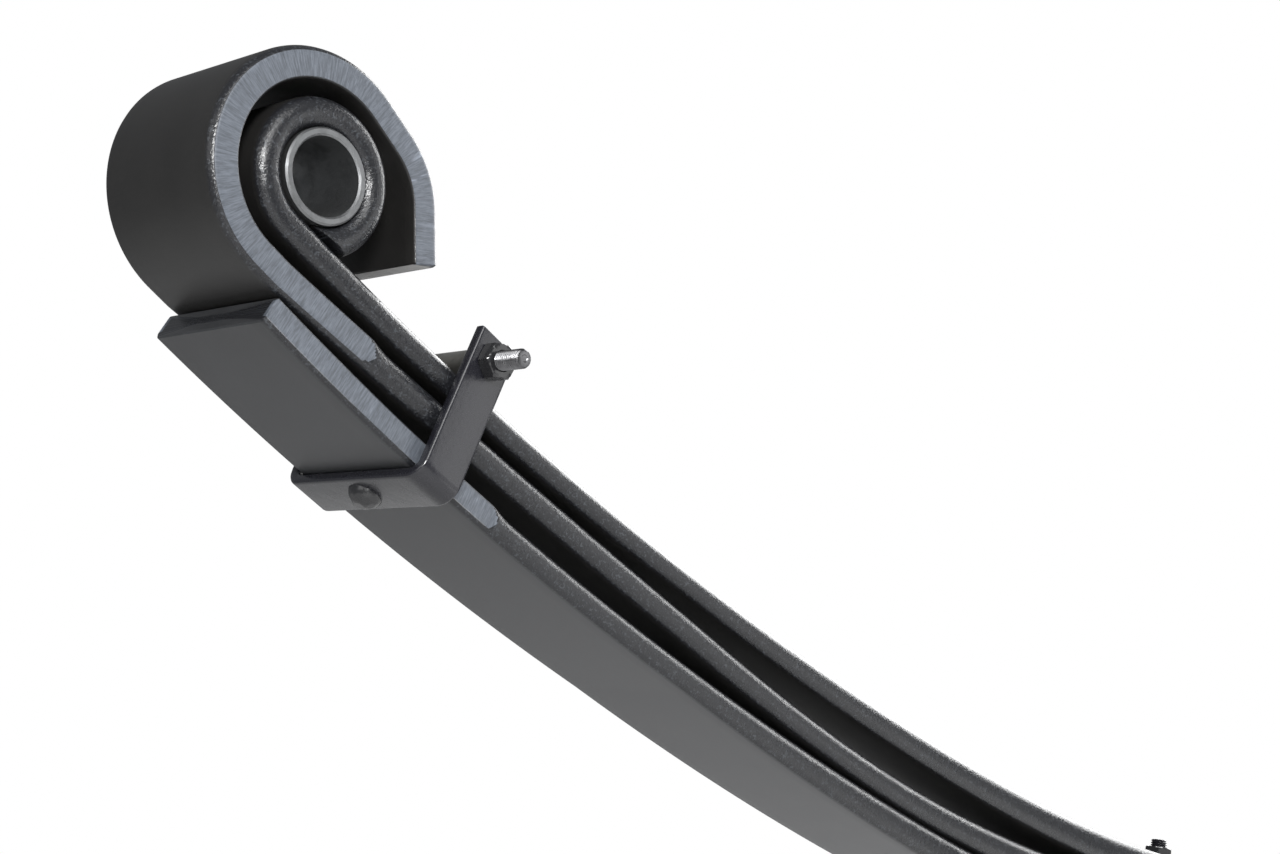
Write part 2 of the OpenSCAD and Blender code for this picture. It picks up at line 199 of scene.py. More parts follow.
class FinishColours(bpy.types.PropertyGroup):
    """Colours of the finishes, linear, with a painted glint and a painted sheen among them."""
    rolled: colour("Rolled edge", "Paint over the rolled sides", (0.0110, 0.0115, 0.0135))
    # Colour of the painted glints: light flecks on the rolled sides that stand for grain
    # catching the light
    painted_glint: colour("Sparkle", "Grain that catches the light", (0.040, 0.044, 0.050))
    flat: colour("Flat", "Paint on the broad faces", (0.0115, 0.011, 0.0105))
    # Lighter copy of the flat black paint: painted sheen for the light that the third leaf's
    # underside reflects
    under: colour("Underside", "Third leaf's satin underside", (0.027, 0.028, 0.030))
    milled: colour("Milled", "Thin paint on the milled sides", (0.125, 0.140, 0.165))
    clip: colour("Clip", "Gloss paint on the clips", (0.0095, 0.0095, 0.0125))
    nut: colour("Nut", "Gloss paint on nuts and rivets", (0.012, 0.012, 0.013))
    steel: colour("Steel", "Machined steel of the bushes", (0.26, 0.265, 0.27))
    bolt: colour("Bolt", "Bright steel of the bolts", (0.17, 0.17, 0.175))
    tube: colour("Tube", "Satin steel of the distance tubes", (0.42, 0.41, 0.38))


class StageSizes(bpy.types.PropertyGroup):
    """The camera, floor and lights."""
    back: length("Back", "Camera beyond the left eye, along X", 0.48948)
    front: length("Front", "Camera in front of the leaf's side", 0.71841)
    drop: length("Drop", "Camera below the eye", 0.30853)
    heading: degrees("Heading", "Camera's heading from +X", 45.07)
    pitch: degrees("Pitch", "Camera's upward tilt", 14.10)
    roll: degrees("Roll", "Camera's roll", 9.20)
    lens: ratio("Lens", "Focal length for a 36 mm wide sensor", 55.13)
    floor_drop: length("Floor", "Floor below the axle seat", 0.34)
    floor_size: length("Floor size", "Width of the floor", 3.4)


GROUPS = {
    "spring_line": LineSizes,
    "spring_leaves": LeafSizes,
    "spring_wrap": WrapSizes,
    "spring_edges": EdgeSizes,
    "spring_clips": ClipSizes,
    "spring_centre": CentreSizes,
    "spring_colours": FinishColours,
    "spring_stage": StageSizes,
}


# ---- the spring line ----

class Line:
    """The main leaf's top line and the layers below it, as functions of X >= 0."""

    def __init__(self, scene):
        self.line = scene.spring_line
        self.leaf = scene.spring_leaves
        self.wrap = scene.spring_wrap
        self.arm = self.line.half_span - self.line.seat_half

    def share(self, x):
        """Share of the arm covered: 0 over the seat and 1 at the eye's centre."""
        return np.maximum(0, np.abs(x) - self.line.seat_half) / self.arm

    def run(self, x):
        """Distance left to the eye, and 0 past it."""
        return self.arm * np.maximum(0, 1 - self.share(x))

    def angle(self, x):
        """Slope angle: the derivative of the rise."""
        s = self.share(x)
        k = self.line.cross
        bend = 2 * k * s - 3 * (1 + k) * s**2 + 4 * s**3
        return np.arctan(self.line.camber / self.arm * (2 * s + self.line.fullness * bend))

    def top(self, x):
        """Point on the top line: camber times s squared, made fuller in mid arm."""
        s = self.share(x)
        full = 1 + self.line.fullness * (1 - s) * (self.line.cross - s)
        return np.stack([x, STACK_TOP + self.line.camber * s**2 * full], axis=-1)

    def normal(self, x):
        """Unit normal of the line, pointing up."""
        a = self.angle(x)
        return np.stack([-np.sin(a), np.cos(a)], axis=-1)

    def layer(self, x, depth):
        """Point a given depth under the top line, square to it."""
        return self.top(x) - np.asarray(depth)[..., None] * self.normal(x)

    def near_eye(self, x):
        """1 at the eye, falling as a square to 0 over the eye blend."""
        return np.maximum(0, 1 - self.run(x) / self.leaf.eye_blend) ** 2

    def parabolic(self, x, seat, tip, end):
        """Thickness that grows with the root of the distance from the load."""
        grown = np.maximum(tip, seat * np.sqrt(self.run(x) / self.arm))
        return grown + (end - tip) * self.near_eye(x)

    def main_t(self, x):
        """Main leaf's thickness."""
        leaf = self.leaf
        return self.parabolic(x, leaf.main_seat, leaf.main_tip, leaf.eye_wall)

    def second_t(self, x):
        """Second leaf's thickness."""
        leaf = self.leaf
        return self.parabolic(x, leaf.second_seat, leaf.second_tip, self.wrap.thickness)

    def third_t(self, x):
        """Third leaf's thickness, which stays even past its taper."""
        leaf = self.leaf
        return self.parabolic(x, leaf.third_seat, leaf.third_tip, leaf.third_tip)

    def second_top(self, x):
        """Main leaf's thickness plus a gap that bulges along the arm."""
        leaf = self.leaf
        away = np.maximum(0, self.run(x) - leaf.mid_start) / (self.arm - leaf.mid_start)
        gap = (leaf.leaf_gap + (leaf.foot_gap - leaf.leaf_gap) * self.near_eye(x)
               + (leaf.spacer - leaf.leaf_gap) * self.run(x) / self.arm
               + leaf.mid_gap * np.sin(math.pi * away) ** 2)
        return self.main_t(x) + gap

    def third_top(self, x):
        """Depth of the third leaf, dropping away fast at first from its tips."""
        leaf = self.leaf
        at_eye = self.third_eye_depth()
        at_seat = leaf.main_seat + leaf.second_seat + 2 * leaf.spacer
        fall = 1 - (1 - self.run(x) / self.arm) ** leaf.third_sweep
        return at_eye + (at_seat - at_eye) * fall

    def third_eye_depth(self):
        """Depth of the third leaf under the eye: past both leaves and their gaps."""
        leaf = self.leaf
        return leaf.eye_wall + leaf.foot_gap + self.wrap.thickness + leaf.tip_gap

    def third_low(self, x):
        """Depth of the third leaf's underside."""
        return self.third_top(x) + self.third_t(x)

    def foot(self, beyond, lift):
        """X at which a circle centred a lift above the line lies beyond the eye."""
        x = self.line.half_span
        for _ in range(2):
            x = self.line.half_span + beyond + lift * math.sin(float(self.angle(x)))
        return x


def toward(angle):
    """Unit vectors at the angles."""
    return np.stack([np.cos(angle), np.sin(angle)], axis=-1)


def path_length(points):
    """Running length along a row of points."""
    steps = np.linalg.norm(np.diff(points, axis=0), axis=1)
    return np.concatenate([[0.0], np.cumsum(steps)])


# ---- meshes ----

def make_piece(name, grid, closed_rows=False, marks=None, sharp=32.0):
    """Mesh object from an (n, m, 3) grid of points; each row of m points is a ring.

    Neighbouring points become quads, rings close on themselves, and closed_rows joins
    the last ring to the first. Rings drawn to one point merge into a closed pole.
    """
    n, m = grid.shape[:2]
    rows = np.arange(n if closed_rows else n - 1)
    i, j = np.meshgrid(rows, np.arange(m), indexing="ij")
    up, along = (i + 1) % n, (j + 1) % m
    quads = np.stack([i * m + j, i * m + along, up * m + along, up * m + j], axis=-1)
    mesh = bpy.data.meshes.new(name)
    mesh.from_pydata(grid.reshape(-1, 3), [], quads.reshape(-1, 4))
    for key, values in (marks or {}).items():
        kind = "FLOAT_VECTOR" if values.ndim == 3 else "FLOAT"
        layer = mesh.attributes.new(key, kind, "POINT")
        layer.data.foreach_set("vector" if values.ndim == 3 else "value",
                               np.ascontiguousarray(values, dtype=np.float32).ravel())
    work = bmesh.new()
    work.from_mesh(mesh)
    bmesh.ops.remove_doubles(work, verts=work.verts, dist=1e-6)
    bmesh.ops.recalc_face_normals(work, faces=work.faces)
    work.to_mesh(mesh)
    work.free()
    mesh.shade_smooth()
    mesh.set_sharp_from_angle(angle=math.radians(sharp))
    mesh.update()
    piece = bpy.data.objects.new(name, mesh)
    bpy.context.scene.collection.objects.link(piece)
    return piece


def settle(piece, nodes, body, material):
    """Gives a piece its material and its body, and hides the CAD nodes it stands for."""
    piece.data.materials.append(material)
    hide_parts(*nodes)
    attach(piece, body)
    return piece


def capped(grid, steps=CAP_SHARES):
    """Closes both ends of a grid with rings that shrink to the end's middle."""
    def cap(ring):
        middle = ring.mean(axis=0)
        return np.stack([middle + (ring - middle) * k for k in steps])
    return np.concatenate([cap(grid[0])[::-1], grid, cap(grid[-1])])


def padded_rows(values, count):
    """Repeats the first and last rows of values, to match capped()."""
    return np.concatenate([np.repeat(values[:1], count, axis=0), values,
                           np.repeat(values[-1:], count, axis=0)])


class Section:
    """Ring of a leaf's cross-section: flat faces joined by rounded sides.

    b runs from -1, the outer or lower face, to 1. flat is the share of the flat face's
    half width and side is how far round the rolled side a point lies, signed.
    """

    def __init__(self, cap_points=17, flat_points=9):
        turn = np.linspace(math.pi / 2, -math.pi / 2, cap_points)
        inside = np.linspace(-1, 1, flat_points + 2)[1:-1]
        one = np.ones(cap_points)
        none = np.zeros(flat_points)
        self.b = np.concatenate([np.sin(turn), none - 1, np.sin(turn[::-1]), none + 1])
        self.flat = np.concatenate([one, inside[::-1], -one, inside])
        self.side = np.concatenate([np.cos(turn), none, -np.cos(turn), none])

    def across(self, top_depth, low_depth, cut):
        """Y of each ring point, for a row of rings, and the milled share.

        cut is how far the milled plane is set in at each point.

        The rounded side is an ellipse, cut off where it passes the milled plane.
        """
        depth = np.where(self.b >= 0, top_depth[:, None], low_depth[:, None])
        y = self.flat * (LEAF_W / 2 - depth) + self.side * depth
        plane = LEAF_W / 2 - cut
        milled = (np.abs(y) > plane) & (cut > 1e-6)
        return np.clip(y, -plane, plane), milled.astype(float)


def mirrored(half):
    """A whole leaf's rows from its right half's, with X turned over on the left."""
    flip = np.ones(half.shape[-1])
    flip[0] = -1
    return np.concatenate([(half * flip)[:0:-1], half])


def both(half):
    """A whole leaf's rows of plain values from its right half's."""
    return np.concatenate([half[:0:-1], half])


def runout(distance, cut, cutter_r):
    """Depth left by a round cutter that lifts away: full up to 0, then an arc."""
    lift = cutter_r - np.sqrt(np.maximum(0, cutter_r**2 - np.maximum(0, distance) ** 2))
    gone = distance > cutter_r
    return np.where(gone, 0, np.maximum(0, cut - lift))


def build_leaf(name, section, xz, along, edges, runout_at, low_round):
    """Leaf mesh from its right half: xz is (n, m, 2) and along the length from the seat.

    The sides are milled from runout_at to the end; a runout_at of None leaves them rolled.
    low_round is the depth of the rolled side's curve on the lower face.
    """
    n = len(along)
    bevel = edges.end_bevel
    if runout_at is None:
        cut = np.zeros((n, len(section.b)))
        into = np.zeros(n)
    else:
        half_t = np.linalg.norm(xz[:, 0] - xz[:, len(section.b) // 2], axis=-1) / 2
        off = np.minimum(np.abs(half_t[:, None] * section.b), edges.tongue_r)
        bow = edges.tongue_r - np.sqrt(edges.tongue_r**2 - off**2)
        cut = runout(runout_at - along[:, None] + bow, edges.milled_cut, edges.cutter_r)
        into = np.clip((along - runout_at) / CRISP_RAMP + 1, 0, 1)
    top_depth = edges.round_depth + (edges.crisp_depth - edges.round_depth) * into
    low_depth = np.full(n, low_round)
    y, milled = section.across(top_depth, low_depth, cut)
    y[-1] -= np.sign(y[-1]) * np.minimum(np.abs(y[-1]), bevel)
    half = np.stack([xz[..., 0], y, xz[..., 1]], axis=-1)
    depth = np.broadcast_to(section.b, y.shape) * PATTERN_DEPTH
    lie_half = np.stack([np.broadcast_to(along[:, None], y.shape), y, depth], axis=-1)
    caps = len(CAP_SHARES)
    grid = capped(mirrored(half))
    lie = padded_rows(mirrored(lie_half), caps)
    mill = padded_rows(both(milled), caps)
    rim = padded_rows(both(np.broadcast_to(np.abs(section.side), y.shape)), caps)
    ends = np.zeros(len(grid))
    ends[:caps] = 1
    ends[-caps:] = 1
    cut_end = np.broadcast_to(ends[:, None], mill.shape)
    mill = mill * (1 - cut_end)
    marks = {"lie": lie, "milled": mill, "rim": rim, "cut_end": cut_end}
    return make_piece(name, grid, marks=marks)


def straight_rows(line, section, xs, top, thickness):
    """Rows of a leaf that follows the line: square to it, centred on its own middle."""
    middle = line.layer(xs, top + thickness / 2)
    reach = (thickness / 2)[:, None, None] * section.b[None, :, None]
    return middle[:, None, :] + reach * line.normal(xs)[:, None, :]


def arc_rows(section, centre, mid_r, thickness, angles):
    """Rows of a leaf bent round a centre, its upper face inside.

    angles is (n,) or (n, m) and a point's radius is mid_r less its share of thickness.
    """
    if angles.ndim == 1:
        angles = np.broadcast_to(angles[:, None], (len(angles), len(section.b)))
    radius = mid_r - section.b * thickness / 2
    return centre + radius[None, :, None] * toward(angles)


def beveled_end(xz, bevel, thickness):
    """Adds a last row a bevel further on, drawn in by the bevel."""
    middle = xz[-1].mean(axis=0)
    step = xz[-1].mean(axis=0) - xz[-2].mean(axis=0)
    step = step / np.linalg.norm(step)
    last = middle + (xz[-1] - middle) * (1 - 2 * bevel / thickness) + step * bevel
    return np.concatenate([xz, last[None]])


def stations(line, end, dense_from=None):
    """X values from the middle out: wide over the arm and close where shape changes."""
    seat = line.line.seat_half
    inner = np.array([0.0, seat])
    if dense_from is None:
        dense_from = end - 0.02
    coarse = np.arange(seat + COARSE_STEP, dense_from, COARSE_STEP)
    fine = np.arange(dense_from, end, FINE_STEP)
    return np.concatenate([inner, coarse, fine, [end]])


def main_rows(line, section):
    """Main leaf's right half: the line, then the eye, cut off parallel to the leaf."""
    leaf = line.leaf
    foot = line.foot(0, BUSH_R)
    xs = stations(line, foot)
    thickness = line.main_t(xs)
    rows = straight_rows(line, section, xs, np.zeros_like(xs), thickness)
    start = float(line.angle(foot)) - math.pi / 2
    mid_r = BUSH_R + leaf.eye_wall / 2
    share = np.linspace(0, 1, 150)[1:, None]
    radius = mid_r - section.b * leaf.eye_wall / 2
    gap_angle = np.arccos((BUSH_R - leaf.eye_slot) / radius)
    mid_gap = math.acos((BUSH_R - leaf.eye_slot) / mid_r)
    shear = np.clip((share - 0.7) / 0.3, 0, 1) * (mid_gap - gap_angle)
    angles = start + share * (2 * math.pi - mid_gap) + shear
    eye = arc_rows(section, EYE, mid_r, leaf.eye_wall, angles)
    return np.concatenate([rows, eye])


def second_rows(line, section, runout_x):
    """Second leaf's right half: the line, the wrap's arc, its run, bend and leg."""
    wrap = line.wrap
    half_t = wrap.thickness / 2
    mid_r = BUSH_R + line.leaf.eye_wall + wrap.gap + half_t
    lift = mid_r - (line.leaf.eye_wall + line.leaf.foot_gap + half_t)
    foot = line.foot(wrap.shift, lift)
    xs = stations(line, foot, dense_from=runout_x - 0.02)
    thickness = line.second_t(xs)
    rows = straight_rows(line, section, xs, line.second_top(xs), thickness)
    start = float(line.angle(foot)) - math.pi / 2
    centre = line.top(foot) + lift * line.normal(foot)
    turn = start + wrap.sweep
    arc = arc_rows(section, centre, mid_r, wrap.thickness,
                   start + np.linspace(0, wrap.sweep, 130)[1:])
    bend_centre = (centre + (mid_r - wrap.bend_r) * toward(turn)
                   + wrap.run * toward(turn + math.pi / 2))
    bend = arc_rows(section, bend_centre, wrap.bend_r, wrap.thickness,
                    turn + np.linspace(0, wrap.bend, 30))
    end = turn + wrap.bend
    steps = np.linspace(0, wrap.leg, 16)[1:, None, None]
    leg = bend[-1][None] + steps * toward(end + math.pi / 2)
    return np.concatenate([rows, arc, bend, leg])


def third_rows(line, section, runout_x):
    """Third leaf's right half: the line only, to its square-cut tip."""
    end = line.foot(line.leaf.overhang, -line.third_eye_depth())
    coarse = stations(line, runout_x + 0.02, dense_from=runout_x - 0.02)
    xs = np.concatenate([coarse, np.arange(runout_x + 0.022, end, 0.003), [end]])
    return straight_rows(line, section, xs, line.third_top(xs), line.third_t(xs))


def along_rows(xz):
    """Length from the seat to each row, through the rows' middles."""
    return path_length(xz.mean(axis=1))


def length_at(xz, x):
    """Length from the seat to where the leaf's middle first passes X."""
    middles = xz.mean(axis=1)
    first = np.argmax(middles[:, 0] > x)
    return float(along_rows(xz)[first])


# ---- turned pieces ----

def turned(profile, steps=STEPS):
    """Rings of a body of revolution: profile is (n, 2) of radius and height."""
    angles = np.linspace(0, 2 * math.pi, steps, endpoint=False)
    r, z = profile[:, 0, None], profile[:, 1, None]
    return np.stack([r * np.cos(angles), r * np.sin(angles), z + 0 * angles], axis=-1)


def hexagon_radius(angles, flats):
    """Radius of a hexagon at each angle: half the flats over the folded cosine."""
    folded = np.mod(angles + math.pi / 6, math.pi / 3) - math.pi / 6
    return flats / 2 / np.cos(folded)


def hexagon_rings(heights, flats, low, high):
    """Rings of a hexagon whose corners are turned off at its ends by a cone."""
    angles = np.linspace(0, 2 * math.pi, STEPS, endpoint=False)
    corner = hexagon_radius(angles, flats)
    reach = np.minimum(high - heights, heights - low)
    cone = flats / 2 * CORNER_SHARE + reach * CORNER_SLOPE
    r = np.minimum(corner[None, :], np.maximum(cone, flats * 0.45)[:, None])
    return np.stack([r * np.cos(angles), r * np.sin(angles),
                     np.broadcast_to(heights[:, None], r.shape)], axis=-1)


def thread_rings(radius, pitch, low, high, tip, point):
    """Rings of a threaded shank: the radius dips in a triangle wave along a helix.

    Over a length of point before the tip, a cone limits the radius.
    """
    angles = np.linspace(0, 2 * math.pi, STEPS, endpoint=False)
    heights = np.arange(low, high, pitch / 9)
    phase = heights[:, None] / pitch - angles[None, :] / (2 * math.pi)
    wave = np.abs(2 * (phase - np.floor(phase)) - 1)
    groove = np.clip(wave * 1.3 - 0.15, 0, 1)
    r = radius - 0.61 * pitch * groove
    limit = radius + 0.0002 - np.maximum(0, heights - (tip - point)) * 0.8
    r = np.minimum(r, limit[:, None])
    return np.stack([r * np.cos(angles), r * np.sin(angles),
                     np.broadcast_to(heights[:, None], r.shape)], axis=-1)


def ring(radius, height):
    """One round ring."""
    return turned(np.array([[radius, height]]))


# ---- places ----

def clip_frame(line, clips):
    """Seat point and angle of the right clip: square on the third leaf's underside."""
    x = line.line.half_span - clips.setback
    xs = np.array([x - 0.001, x, x + 0.001])
    low = line.layer(xs, line.third_low(xs))
    step = low[2] - low[0]
    return low[1], math.atan2(step[1], step[0])


def place_clip(points, line, clips, side, lean=0.0):
    """Moves points from a clip's own frame (along, across, up) onto the spring.

    lean is how far along the spring the leaning ears carry the points.
    """
    seat, angle = clip_frame(line, clips)
    y, n = points[..., 1], points[..., 2]
    u = points[..., 0] + lean
    x = seat[0] + u * math.cos(angle) - n * math.sin(angle)
    z = seat[1] + u * math.sin(angle) + n * math.cos(angle)
    return np.stack([side * x, y, z], axis=-1)


def bolt_height(line, clips):
    """Height of the clip bolt's axis over the third leaf's underside."""
    x = line.line.half_span - clips.setback
    tube_r = clips.bolt_d / 2 + clips.tube_turn_gap + clips.tube_wall
    return float(line.third_low(x)) + clips.tube_gap + tube_r


def ear_lean(clips, up):
    """How far an ear leans toward the eye at a height over the third leaf."""
    return math.tan(clips.lean) * np.maximum(0, up - clips.side_gap)


def lying(points, height):
    """Lays a piece turned about Z along the clip's Y axis, its top toward -Y."""
    return np.stack([points[..., 0], -points[..., 2], points[..., 1] + height], axis=-1)


def on_bolt(points, line, clips, side):
    """Places a piece turned about Z on the clip bolt's axis, its top toward -Y."""
    up = bolt_height(line, clips)
    return place_clip(lying(points, up), line, clips, side, ear_lean(clips, up))


# ---- materials ----

class Maths:
    """A number socket with the usual operators, each of which adds a Math node."""

    def __init__(self, shader, socket):
        self.shader = shader
        self.socket = socket

    def _math(self, operation, *values):
        node = self.shader.add("ShaderNodeMath", {"operation": operation},
                               dict(enumerate(values)))
        return Maths(self.shader, node.outputs[0])

    def __add__(self, other):
        return self._math("ADD", self, other)

    def __radd__(self, other):
        return self._math("ADD", other, self)

    def __sub__(self, other):
        return self._math("SUBTRACT", self, other)

    def __rsub__(self, other):
        return self._math("SUBTRACT", other, self)

    def __mul__(self, other):
        return self._math("MULTIPLY", self, other)

    def __rmul__(self, other):
        return self._math("MULTIPLY", other, self)

    def over(self, low, high):
        """0 below low, 1 above high and smooth between."""
        node = self.shader.add("ShaderNodeMapRange", {"interpolation_type": "SMOOTHSTEP"},
                               {"Value": self, "From Min": low, "From Max": high})
        return Maths(self.shader, node.outputs["Result"])

    def clamped(self):
        """Kept within 0 and 1."""
        return self._math("MINIMUM", self._math("MAXIMUM", self, 0.0), 1.0)


class Shader:
    """A new material and the nodes that feed its Principled BSDF."""

    def __init__(self, name):
        self.material = bpy.data.materials.new(name)
        self.material.use_nodes = True
        self.tree = self.material.node_tree
        self.bsdf = self.tree.nodes["Principled BSDF"]

    def add(self, kind, settings=None, inputs=None):
        """Adds a node: its settings first, then the values or links of its inputs."""
        node = self.tree.nodes.new(kind)
        for key, value in (settings or {}).items():
            setattr(node, key, value)
        for key, value in (inputs or {}).items():
            self.feed(node.inputs[key], value)
        return node

    def feed(self, socket, value):
        """Links a socket or Maths to an input, or sets its value."""
        if isinstance(value, Maths):
            value = value.socket
        if isinstance(value, bpy.types.NodeSocket):
            self.tree.links.new(value, socket)
        elif isinstance(value, tuple) and len(value) == 3 and socket.type == "RGBA":
            socket.default_value = (*value, 1.0)
        else:
            socket.default_value = value

    def constants(self, **values):
        """Sets plain numbers on the shader's own sockets."""
        for key, value in values.items():
            self.bsdf.inputs[key.replace("_", " ")].default_value = value

    def attribute(self, name, vector=False):
        """A piece's own attribute: a vector socket, or a number as Maths."""
        node = self.add("ShaderNodeAttribute", {"attribute_name": name})
        return node.outputs["Vector"] if vector else Maths(self, node.outputs["Fac"])

    def place(self):
        """Object coordinates."""
        return self.add("ShaderNodeTexCoord").outputs["Object"]

    def stretched(self, vector, scale):
        """Coordinates multiplied along each axis."""
        node = self.add("ShaderNodeVectorMath", {"operation": "MULTIPLY"},
                        {0: vector, 1: scale})
        return node.outputs[0]

    def noise(self, vector, scale, detail=2.0, roughness=0.5, distortion=0.0):
        """Noise from 0 to 1; scale is in waves per metre of the coordinates."""
        node = self.add("ShaderNodeTexNoise", {},
                        {"Vector": vector, "Scale": scale, "Detail": detail,
                         "Roughness": roughness, "Distortion": distortion})
        return Maths(self, node.outputs["Fac"])

    def blend(self, share, first, second):
        """A colour between two colours or colour sockets."""
        node = self.add("ShaderNodeMix", {"data_type": "RGBA"})
        self.feed(node.inputs["Factor"], share)
        self.feed(node.inputs[6], first)
        self.feed(node.inputs[7], second)
        return node.outputs[2]

    def bump(self, height, distance, strength=1.0):
        """Sends a height, in units of distance, to the Normal through a Bump node."""
        node = self.add("ShaderNodeBump", {},
                        {"Height": height, "Distance": distance, "Strength": strength})
        self.tree.links.new(node.outputs["Normal"], self.bsdf.inputs["Normal"])


def leaf_finish(name, colours, flat_colour, bare_end=False):
    """Black paint on a leaf: smooth faces, grainy rolled sides with painted glints, brushed
    milled sides.

    The pattern follows the leaf's own unrolled coordinates: length, width and depth.
    """
    s = Shader(name)
    lie = s.attribute("lie", vector=True)
    milled = s.attribute("milled").over(0.35, 0.65)
    rim = s.attribute("rim")
    cut_end = s.attribute("cut_end").over(0.3, 0.9)
    rolled = rim.over(0.12, 0.5) * (1 - milled)

    grain = s.noise(lie, 820, detail=2.0, roughness=0.55)
    coarse = s.noise(lie, 330, detail=2.0, roughness=0.5)
    # Mask of the painted glints: flecks laid on the same grain that also roughens the rolled
    # sides' bumps
    painted_glint_mask = (grain * 0.65 + coarse * 0.35).over(0.54, 0.64)

    brushed = s.noise(s.stretched(lie, (1.0, 0.25, 0.12)), 1500, detail=3.0, roughness=0.7)
    streak = s.noise(s.stretched(lie, (1.0, 0.2, 0.07)), 1150, detail=3.0, roughness=0.6)
    scratch = s.noise(s.stretched(lie, (1.0, 0.1, 0.16)), 190, distortion=0.4).over(0.66, 0.72)

    mottle = s.noise(lie, 34, detail=4.0, roughness=0.6)
    fine = s.noise(lie, 900, detail=2.0)

    face = s.blend((mottle * 0.9 + fine * 0.25).over(0.35, 0.85), flat_colour,
                   tuple(c * 1.35 for c in flat_colour))
    # Rolled sides: black paint with painted glints in lighter flecks
    side = s.blend(painted_glint_mask, colours.rolled[:], colours.painted_glint[:])
    mill = s.blend((brushed * 0.6 + streak * 0.5).over(0.40, 0.72),
                   tuple(c * 0.5 for c in colours.milled), colours.milled[:])
    mill = s.blend(scratch * 0.55, mill, tuple(min(1, c * 2.1) for c in colours.milled))
    base = s.blend(rolled, face, side)
    base = s.blend(milled, base, mill)
    if bare_end:
        base = s.blend(cut_end, base, (0.62, 0.61, 0.60))
    s.feed(s.bsdf.inputs["Base Color"], base)
    rough = 0.40 + mottle * 0.08 - rolled * (0.20 - grain * 0.1) - milled * 0.02
    s.feed(s.bsdf.inputs["Roughness"], rough)
    relief = ((grain * 1.0 + coarse * 0.7) * rolled + fine * 0.05 + mottle * 0.1
              + (brushed * 0.16 + streak * 0.12 - scratch * 0.25) * milled)
    s.bump(relief, 0.00028, 0.9)
    s.constants(Metallic=0.0, Specular_IOR_Level=0.55, Coat_Weight=0.0)
    return s.material


def gloss_paint(name, colour_value, rough, lumps, coat=0.35):
    """Thick gloss paint with orange peel over a lumpy surface."""
    s = Shader(name)
    place = s.place()
    peel = s.noise(place, 520, detail=2.0, roughness=0.55)
    swell = s.noise(place, 120, detail=2.0)
    dust = s.noise(place, 2100, detail=1.0).over(0.6, 0.8)
    base = s.blend((swell * 0.7 + dust * 0.3).clamped(), colour_value,
                   tuple(c * 1.7 for c in colour_value))
    s.feed(s.bsdf.inputs["Base Color"], base)
    s.feed(s.bsdf.inputs["Roughness"], rough + swell * 0.12 + dust * 0.08)
    s.bump(peel * 0.45 + swell * 1.0, lumps)
    s.constants(Coat_Weight=coat, Coat_Roughness=0.12)
    return s.material


def turned_steel(name, colour_value, rough, rings_per_metre):
    """Machined steel: fine tool marks across the axis, with a few darker stains."""
    s = Shader(name)
    place = s.place()
    marks = s.noise(s.stretched(place, (0.12, 1.0, 0.12)), rings_per_metre, detail=3.0,
                    roughness=0.65)
    fine = s.noise(place, 1500, detail=2.0)
    stain = s.noise(place, 90, detail=4.0, roughness=0.6).over(0.42, 0.72)
    base = s.blend(stain, colour_value, tuple(c * 0.62 for c in colour_value))
    s.feed(s.bsdf.inputs["Base Color"], base)
    s.feed(s.bsdf.inputs["Roughness"], rough + marks * 0.14 + stain * 0.08)
    s.bump(marks * 0.7 + fine * 0.4, 0.00012)
    s.constants(Metallic=1.0)
    return s.material


# ---- operators ----

class SpringOperator:
    """What the piece operators share."""
    bl_options = {"REGISTER", "UNDO"}

    def line(self, context):
        return Line(context.scene)


def add_leaf(scene, section, xz, node, flat, end_t, low_round, runout_x=None,
             bare_end=False):
    """Makes a leaf from its right half's rows, with its paint, body and node."""
    edges = scene.spring_edges
    xz = beveled_end(xz, edges.end_bevel, end_t)
    runout_at = None if runout_x is None else length_at(xz, runout_x)
    finish = leaf_finish(node.replace("_", " ") + " paint", scene.spring_colours, flat,
                         bare_end)
    piece = build_leaf(node + "_steel", section, xz, along_rows(xz), edges, runout_at,
                       low_round)
    settle(piece, [node], PACK, finish)


def add_pair(suffix, node, finish, place, own_body="", closed_rows=False):
    """Makes a left and a right piece from place(side), each on its own body or PACK."""
    for name, side in SIDES:
        piece = make_piece(name + suffix, place(side), closed_rows=closed_rows)
        settle(piece, [name + node], name + own_body if own_body else PACK, finish)


class SPRING_OT_main_leaf(SpringOperator, bpy.types.Operator):
    """Build the main leaf with its rolled eyes"""
    bl_idname = "spring.main_leaf"
    bl_label = "Main leaf"

    def execute(self, context):
        scene = context.scene
        line = self.line(context)
        section = Section()
        add_leaf(scene, section, main_rows(line, section), "main_leaf",
                 scene.spring_colours.flat[:], line.leaf.eye_wall,
                 scene.spring_edges.round_depth)
        return {"FINISHED"}


class SPRING_OT_second_leaf(SpringOperator, bpy.types.Operator):
    """Build the second leaf with the wraps around the eyes"""
    bl_idname = "spring.second_leaf"
    bl_label = "Second leaf"

    def execute(self, context):
        scene = context.scene
        line = self.line(context)
        edges = scene.spring_edges
        section = Section()
        runout_x = line.line.half_span - edges.second_runout
        add_leaf(scene, section, second_rows(line, section, runout_x), "second_leaf",
                 scene.spring_colours.flat[:], line.wrap.thickness,
                 edges.round_depth, runout_x, bare_end=True)
        return {"FINISHED"}


class SPRING_OT_third_leaf(SpringOperator, bpy.types.Operator):
    """Build the third leaf with its square tips"""
    bl_idname = "spring.third_leaf"
    bl_label = "Third leaf"

    def execute(self, context):
        scene = context.scene
        line = self.line(context)
        edges = scene.spring_edges
        section = Section()
        runout_x = line.line.half_span - edges.third_runout
        # The third leaf's faces take the lighter underside colour, a painted sheen
        add_leaf(scene, section, third_rows(line, section, runout_x), "third_leaf",
                 scene.spring_colours.under[:], line.leaf.third_tip,
                 edges.third_depth, runout_x)
        return {"FINISHED"}


